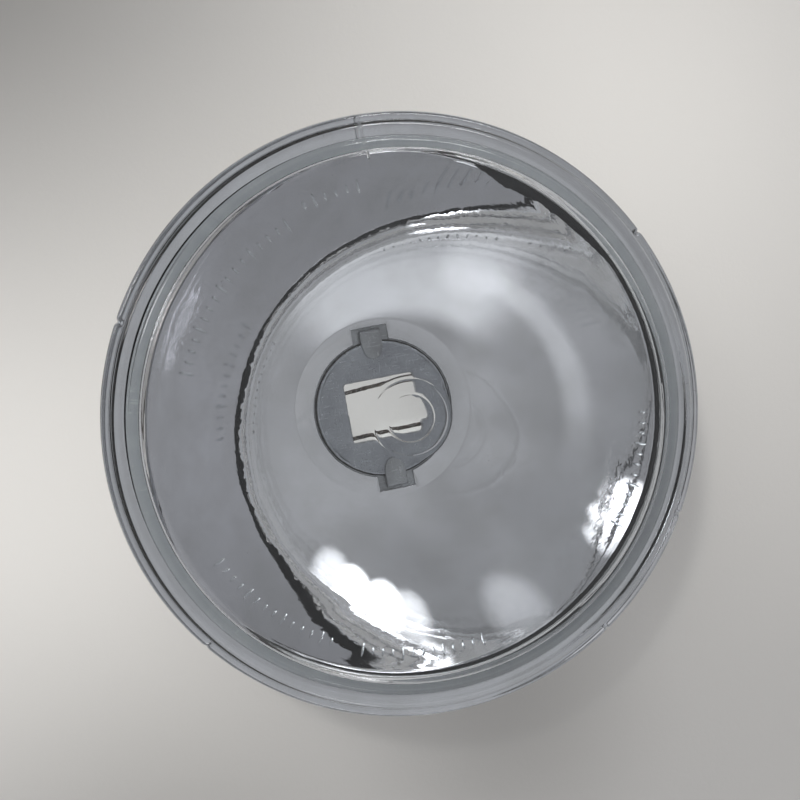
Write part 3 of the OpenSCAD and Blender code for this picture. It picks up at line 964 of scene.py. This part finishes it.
def make_carrier():
    """The plate, skinned from its window over the face, round the rim, and back to the window's lips."""
    face = CARRIER_FACE
    back = face - CARRIER_T
    base = window_points(0.0)
    angles = [math.atan2(p.y, p.x) for p in base]

    def around(margin, forward, outward=0.0, r=CARRIER_R):
        """A row of points round the window, or part or all of the way out from it to the rim."""
        row = []
        for p, a in zip(window_points(margin), angles):
            rim = Vector((math.cos(a), math.sin(a))) * r
            here = Vector(p).lerp(rim, outward)
            row.append(at(here.x, here.y, forward))
        return row

    rows = [around(*place) for place in (
        (0.0, back), (0.02, face - 0.45), (0.14, face - 0.12), (0.45, face),
        *((0.6, face, share) for share in (0.02, 0.15, 0.3, 0.45, 0.6, 0.75, 0.9)),
        (0.6, face, 1, CARRIER_R - 0.7), (0.6, face - 0.05, 1, CARRIER_R - 0.3),
        (0.6, face - 0.14, 1, CARRIER_R - 0.08), (0.6, face - 0.3, 1),
        (0.6, back + 0.12, 1), (0.6, back + CLEAR, 1, CARRIER_R - 0.12),
        *((0.8, back + CLEAR, share) for share in (0.8, 0.5, 0.2)),
        (LIP_T + 0.3, back + CLEAR), (LIP_T + 0.05, back - 0.12), (LIP_T, back - 0.4),
        (LIP_T, LIP_END + 0.2), (LIP_T - 0.12, LIP_END + 0.03), (LIP_T - 0.3, LIP_END),
        (0.22, LIP_END), (0.08, LIP_END + 0.05), (0.0, LIP_END + 0.25),
    )]
    mesh = shell("bulb_carrier_plate", rows)
    mesh.set_sharp_from_angle(angle=math.radians(50))
    piece = new_piece("bulb_carrier_plate", mesh, [CARRIER_FINISH])
    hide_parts("bulb_carrier")


# ---- Wire clip, and what holds it ----

def rounded_path(corners, steps=8):
    """An open path through (x, up) corners, each (x, up, bend radius)."""
    path = [Vector(corners[0][:2])]
    for i in range(1, len(corners) - 1):
        here = Vector(corners[i][:2])
        back = Vector(corners[i - 1][:2]) - here
        ahead = Vector(corners[i + 1][:2]) - here
        half = back.angle(ahead) / 2
        run = corners[i][2] / math.tan(half)
        start, end = here + back.normalized() * run, here + ahead.normalized() * run
        inward = (back.normalized() + ahead.normalized()).normalized()
        centre = here + inward * (corners[i][2] / math.sin(half))
        for k in range(steps + 1):
            p = start.lerp(end, k / steps) - centre
            path.append(centre + p.normalized() * corners[i][2])
    path.append(Vector(corners[-1][:2]))
    return path


def wire_mesh(name, path, forward, radius, sides=20):
    """A round wire along a flat path of (x, up) points, with domed ends."""
    # The domed end: how far along it, in radii, and how wide there, as a share of the radius.
    lengths = [(0.0, 0.35), (0.12, 0.75), (0.35, 0.96)]
    first, last = (path[1] - path[0]).normalized(), (path[-1] - path[-2]).normalized()
    stations = [(path[0] + first * radius * d, first, s) for d, s in lengths]
    for i in range(1, len(path) - 1):
        stations.append((path[i], (path[i + 1] - path[i - 1]).normalized(), 1.0))
    stations += [(path[-1] - last * radius * d, last, s) for d, s in reversed(lengths)]
    rows = []
    for p, ahead, share in stations:
        side = Vector((-ahead.y, ahead.x))
        row = []
        for a in even_turn(sides):
            row.append(at(p.x + side.x * radius * share * math.cos(a),
                          p.y + side.y * radius * share * math.cos(a),
                          forward + radius * share * math.sin(a)))
        rows.append(row)
    return shell(name, rows, closed=False)


def make_clip():
    low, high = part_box("bulb_clip")
    hinge = high.x / MM - WIRE_R
    catch = low.x / MM + WIRE_R
    end = high.z / MM
    forward = -(low.y + high.y) / 2 / MM
    path = rounded_path([
        (catch, end, 0), (catch, LEG_UP - 1.3, BEND_R), (catch + 3.4, LEG_UP - 1.25, 3.0),
        (hinge - 3.2, LEG_UP + 0.1, 3.0), (hinge, LEG_UP, BEND_R),
        (hinge, -LEG_UP, BEND_R), (hinge - 4.0, -LEG_UP + 0.1, 3.0), (catch + 3.0, -LEG_UP - 0.5, 3.0),
        (catch, -LEG_UP - 0.45, BEND_R), (catch, -end, 0)])
    piece = new_piece("wire_clip", wire_mesh("wire_clip", path, forward, WIRE_R), [WIRE], "clip")
    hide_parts("bulb_clip")


EDGE_ROUND = 0.14
CUT_EDGE = math.radians(35)
CREASE = math.radians(38)


def softened(node):
    """A copy of a pressed part with its faces made whole and its cut edges rounded."""
    bm = bmesh.new()
    bm.from_mesh(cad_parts[node].data)
    bmesh.ops.remove_doubles(bm, verts=bm.verts, dist=1e-6)
    bmesh.ops.dissolve_limit(bm, angle_limit=math.radians(1.0), verts=bm.verts, edges=bm.edges)
    edges = [e for e in bm.edges if len(e.link_faces) == 2 and e.calc_face_angle(0) > CUT_EDGE]
    bmesh.ops.bevel(bm, geom=edges, offset=EDGE_ROUND * MM, segments=2, profile=0.5, affect="EDGES",
                    clamp_overlap=True)
    mesh = bpy.data.meshes.new(node + "_pressed")
    bm.to_mesh(mesh)
    bm.free()
    mesh.polygons.foreach_set("use_smooth", [True] * len(mesh.polygons))
    mesh.set_sharp_from_angle(angle=CREASE)
    return mesh


def make_pressings():
    for node, finish, slot in (("clip_bracket", BRACKET_ZINC, "bracket_steel"),
                               ("catch_upper", BRACKET_ZINC, "bracket_steel"),
                               ("catch_lower", BRACKET_ZINC, "bracket_steel"),
                               ("earth_blade", BRASS, "terminal_brass")):
        piece = new_piece(node + "_pressed", softened(node), [finish])
        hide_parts(node)


# ---- Rivets ----

RIVETS = ("bracket_rivet_upper", "bracket_rivet_lower", "catch_rivet_upper", "catch_rivet_lower",
          "earth_rivet")


def make_rivet_tree():
    """A domed head and a shank at every point of the mesh. The sizes vary a little."""
    tree, start, end = geometry_tree("domed_rivets", (
        ("Head Radius", "Float", 0.0016), ("Head Height", "Float", 0.0008), ("Shank Radius", "Float", 0.0009),
        ("Shank Length", "Float", 0.0018), ("Seed", "Int", 7), ("Material", "Material", None)))
    nodes, links = tree.nodes, tree.links
    dome = nodes.new("GeometryNodeMeshUVSphere")
    dome.inputs["Segments"].default_value = 40
    dome.inputs["Rings"].default_value = 20
    dome.inputs["Radius"].default_value = 1.0
    dome_size = nodes.new("ShaderNodeCombineXYZ")
    dome_place = nodes.new("GeometryNodeTransform")
    shank = nodes.new("GeometryNodeMeshCylinder")
    shank.inputs["Vertices"].default_value = 32
    shank_place = nodes.new("GeometryNodeTransform")
    shank_shift = nodes.new("ShaderNodeCombineXYZ")
    links.new(calc(tree, "MULTIPLY", start.outputs["Shank Length"], -0.5), shank_shift.inputs["Z"])
    both = nodes.new("GeometryNodeJoinGeometry")
    on_points = nodes.new("GeometryNodeInstanceOnPoints")
    on_points.inputs["Rotation"].default_value = (-math.pi / 2, 0, 0)
    vary = nodes.new("FunctionNodeRandomValue")
    vary.data_type = "FLOAT"
    floats = [s for s in vary.inputs if s.type == "VALUE"]
    floats[0].default_value, floats[1].default_value = 0.975, 1.0
    realize = nodes.new("GeometryNodeRealizeInstances")
    coat = nodes.new("GeometryNodeSetMaterial")
    joined_up(tree, [
        (start.outputs["Head Radius"], dome_size.inputs["X"]),
        (start.outputs["Head Radius"], dome_size.inputs["Y"]),
        (start.outputs["Head Height"], dome_size.inputs["Z"]),
        (dome.outputs["Mesh"], dome_place.inputs["Geometry"]),
        (dome_size.outputs[0], dome_place.inputs["Scale"]),
        (start.outputs["Shank Radius"], shank.inputs["Radius"]),
        (start.outputs["Shank Length"], shank.inputs["Depth"]),
        (shank.outputs["Mesh"], shank_place.inputs["Geometry"]),
        (shank_shift.outputs[0], shank_place.inputs["Translation"]),
        (dome_place.outputs["Geometry"], both.inputs["Geometry"]),
        (shank_place.outputs["Geometry"], both.inputs["Geometry"]),
        (start.outputs["Geometry"], on_points.inputs["Points"]),
        (both.outputs["Geometry"], on_points.inputs["Instance"]),
        (start.outputs["Seed"], vary.inputs["Seed"]),
        (next(s for s in vary.outputs if s.type == "VALUE"), on_points.inputs["Scale"]),
        (on_points.outputs["Instances"], realize.inputs["Geometry"]),
        (realize.outputs["Geometry"], coat.inputs["Geometry"]),
        (start.outputs["Material"], coat.inputs["Material"]),
        (coat.outputs["Geometry"], end.inputs["Geometry"]),
    ])
    return tree


def make_rivets():
    head_h = RIVET_HEAD_H * MM
    feet = []
    for node in RIVETS:
        low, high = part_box(node)
        feet.append(((low.x + high.x) / 2, high.y - head_h, (low.z + high.z) / 2))
    points = bpy.data.meshes.new("rivet_places")
    points.from_pydata(feet, [], [])
    low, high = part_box(RIVETS[0])
    mesh = plain_result("domed_rivets", points, make_rivet_tree(), {
        "Head Radius": (high.x - low.x) / 2, "Head Height": head_h,
        "Shank Length": high.y - low.y - head_h, "Material": RIVET_ZINC})
    piece = in_scene("domed_rivets", mesh)
    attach(piece, "unit")
    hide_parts(*RIVETS)


# ---- Studio ----

CAMERA_DISTANCE = 0.6
CAMERA_LENS = 111.9
VIEW_AZIMUTH = math.radians(-9.0)
VIEW_ELEVATION = math.radians(5.0)
VIEW_ROLL = math.radians(10.5)
AIM_ACROSS, AIM_UP = -0.001, 0.0037
PAPER_AT = 0.075
PAPER_HALF = 2.5


def make_camera():
    back = Vector((math.sin(VIEW_AZIMUTH) * math.cos(VIEW_ELEVATION),
                   -math.cos(VIEW_AZIMUTH) * math.cos(VIEW_ELEVATION),
                   math.sin(VIEW_ELEVATION)))
    right = Vector((0, 0, 1)).cross(back).normalized()
    up = back.cross(right)
    rolled_up = up * math.cos(VIEW_ROLL) + right * math.sin(VIEW_ROLL)
    rolled_right = rolled_up.cross(back)
    aim = rolled_right * AIM_ACROSS + rolled_up * AIM_UP
    data = bpy.data.cameras.new("camera")
    data.lens = CAMERA_LENS
    data.clip_start, data.clip_end = 0.01, 20
    camera = in_scene("camera", data)
    camera.matrix_world = Matrix.Translation(aim + back * CAMERA_DISTANCE) @ Matrix(
        (rolled_right, rolled_up, back)).transposed().to_4x4()
    bpy.context.scene.camera = camera


# Soft shadows painted into the paper's colour: each darkens it around one place on the paper.
PAINTED_PAPER_SHADOWS = (
    # across, up, reach in metres, depth
    (-0.11, 0.17, 0.165, 0.58),
    (0.025, -0.1, 0.055, 0.25),
    (-0.08, -0.13, 0.11, 0.3),
)


def make_paper():
    """A pale sheet behind the lamp, seen from its front only, with soft shadows painted darker into its colour.
    """
    m, tree, shader = new_material("pale_paper", rough=0.9, specular=0.2)
    grain = placed(tree, GRAIN, cloud_scale=9.0, grain_scale=900.0)
    plain = tinted(tree, grain["Tone"], (0.72, 0.705, 0.68), (0.67, 0.66, 0.64))
    spot = tree.nodes.new("ShaderNodeTexCoord").outputs["Object"]
    painted_shade = None
    for x, z, far, depth in PAINTED_PAPER_SHADOWS:
        away = vector_calc(tree, "DISTANCE", spot, (x, PAPER_AT, z))
        here = spread(tree, away, 1.0 - depth, 1.0, 0.0, far)
        painted_shade = calc(tree, "MULTIPLY", painted_shade, here) if painted_shade else here
    # The paper's colour, darkened by the painted shadows.
    tree.links.new(vector_calc(tree, "SCALE", plain, scale=painted_shade), shader.inputs["Base Color"])
    raised(tree, shader, grain["Grain"], 0.00015, 0.4)
    side = tree.nodes.new("ShaderNodeNewGeometry")
    clear_where(tree, shader, side.outputs["Backfacing"])
    mesh = bpy.data.meshes.new("paper")
    corners = [(x * PAPER_HALF, PAPER_AT, z * PAPER_HALF) for x, z in ((-1, -1), (1, -1), (1, 1), (-1, 1))]
    mesh.from_pydata(corners, [], [(0, 1, 2, 3)])
    mesh.materials.append(m)
    paper = in_scene("paper", mesh)


def toward(off_axis, around):
    """The direction that lies off the beam by one angle, and round it by another, in degrees."""
    off, turn = math.radians(off_axis), math.radians(around)
    return Vector((math.sin(off) * math.cos(turn), -math.cos(off), math.sin(off) * math.sin(turn)))


def aimed(off_axis, around, distance, place=Vector((0, 0, 0))):
    """Where a light stands to shine on a place from a direction off the beam."""
    direction = toward(off_axis, around)
    facing = direction.to_track_quat("Z", "Y").to_matrix().to_4x4()
    return Matrix.Translation(place + direction * distance) @ facing


def new_light(name, kind, stand, power, colour):
    """A light that is itself seen in nothing."""
    data = bpy.data.lights.new(name, kind)
    data.energy = power
    data.color = colour
    light = in_scene(name, data)
    light.matrix_world = stand
    light.visible_camera = light.visible_glossy = light.visible_transmission = False
    return data


def make_softbox(name, stand, size, power, colour=(1, 1, 1)):
    data = new_light(name, "AREA", stand, power, colour)
    data.shape = "RECTANGLE"
    data.size = data.size_y = size


GLOWS = (
    # off the beam, round it, inner and outer half-widths in degrees, brightness
    (73, 48, 1, 8, 1.6),
    (74, 56, 1, 7, 9.0),
    (75.5, 66, 1, 7, 9.0),
    (77, 74, 0, 7, 1.8),
    (79, 104, 0, 10, 0.6),
    (80, 136, 0, 5, 3.0),
    (80, 142, 1, 6, 9.0),
    (80, 149, 1, 6, 7.0),
    (89, 77, 2, 8, 14.0),
    (99, 77, 2, 8, 14.0),
    (90, 148, 2, 9, 8.0),
    (92, 256, 2, 10, 5.0),
    (71, 238, 2, 15, 0.3),
)
PATCHES = (
    # round the beam, then off it: where it fades in, is full and fades out, in degrees; brightness
    ((206, 232, 292, 322), (44, 54, 66, 80), 0.5),
    ((145, 190, 214, 240), (63, 67, 69, 73), 0.3),
)


def between(tree, value, edges):
    """1 between the two middle edges, fading to 0 at the outer two."""
    rise = spread(tree, value, 0.0, 1.0, edges[0], edges[1])
    return calc(tree, "MULTIPLY", rise, spread(tree, value, 1.0, 0.0, edges[2], edges[3]))


def make_world():
    """A grey room with soft glows of window and lamp light, and a pale wall behind."""
    world = bpy.data.worlds.new("studio")
    world.use_nodes = True
    tree = world.node_tree
    sky = tree.nodes.new("ShaderNodeTexCoord").outputs["Generated"]
    total = None
    for off_axis, around, inner, outer, brightness in GLOWS:
        dot = vector_calc(tree, "DOT_PRODUCT", sky, toward(off_axis, around))
        glow = spread(tree, dot, 0.0, brightness,
                      math.cos(math.radians(outer)), math.cos(math.radians(inner)))
        total = calc(tree, "ADD", total, glow) if total else glow
    along = tree.nodes.new("ShaderNodeSeparateXYZ")
    tree.links.new(sky, along.inputs[0])
    turn = calc(tree, "DEGREES", calc(tree, "ARCTAN2", along.outputs["Z"], along.outputs["X"]))
    turn = calc(tree, "FLOORED_MODULO", turn, 360.0)
    off = calc(tree, "DEGREES", calc(tree, "ARCCOSINE", calc(tree, "MULTIPLY", along.outputs["Y"], -1.0)))
    for round_beam, off_beam, brightness in PATCHES:
        patch = calc(tree, "MULTIPLY", between(tree, turn, round_beam), between(tree, off, off_beam))
        total = calc(tree, "MULTIPLY_ADD", patch, brightness, total)
    room = spread(tree, noise(tree, sky, 2.0), 0.31, 0.47, 0.3, 0.7)
    behind = spread(tree, along.outputs["Y"], 0.0, 0.24)
    grey = calc(tree, "ADD", calc(tree, "ADD", room, behind), total)
    tint = vector_calc(tree, "SCALE", (1.0, 1.0, 1.02), scale=grey)
    tree.links.new(tint, tree.nodes["Background"].inputs["Color"])
    bpy.context.scene.world = world


POOL_DISTANCE = 1.6
WARM = (1.0, 0.985, 0.955)


def make_pool(name, x, up, width, power):
    """A soft pool of light on the paper, centred at a place on it, in millimetres."""
    stand = aimed(24, 128, POOL_DISTANCE, Vector((x * MM, PAPER_AT, up * MM)))
    data = new_light(name, "SPOT", stand, power, WARM)
    data.spot_size = 2 * math.atan(width * MM / POOL_DISTANCE)
    data.spot_blend = 1.0
    data.shadow_soft_size = 0.08


def make_lights():
    behind_window = Matrix.Translation((0, 0.045, 0)) @ Matrix.Rotation(math.pi / 2, 4, "X")
    make_softbox("paper_fill", aimed(24, 128, 1.5), 0.6, 3, (1.0, 0.985, 0.96))
    make_softbox("rear_fill", aimed(150, 130, 1.6), 1.0, 6)
    make_softbox("window_glow", behind_window, 0.03, 0.0045)
    make_pool("pool_left", -95, -8, 110, 72)
    make_pool("pool_upper_right", 85, 60, 120, 60)


bpy.context.scene.view_settings.view_transform = "Standard"
make_camera()
make_paper()
make_world()
make_lights()
make_lens()
make_ticks()
make_bond()
make_bead()
make_reflector()
make_collar()
make_gasket()
make_carrier()
make_clip()
make_pressings()
make_rivets()
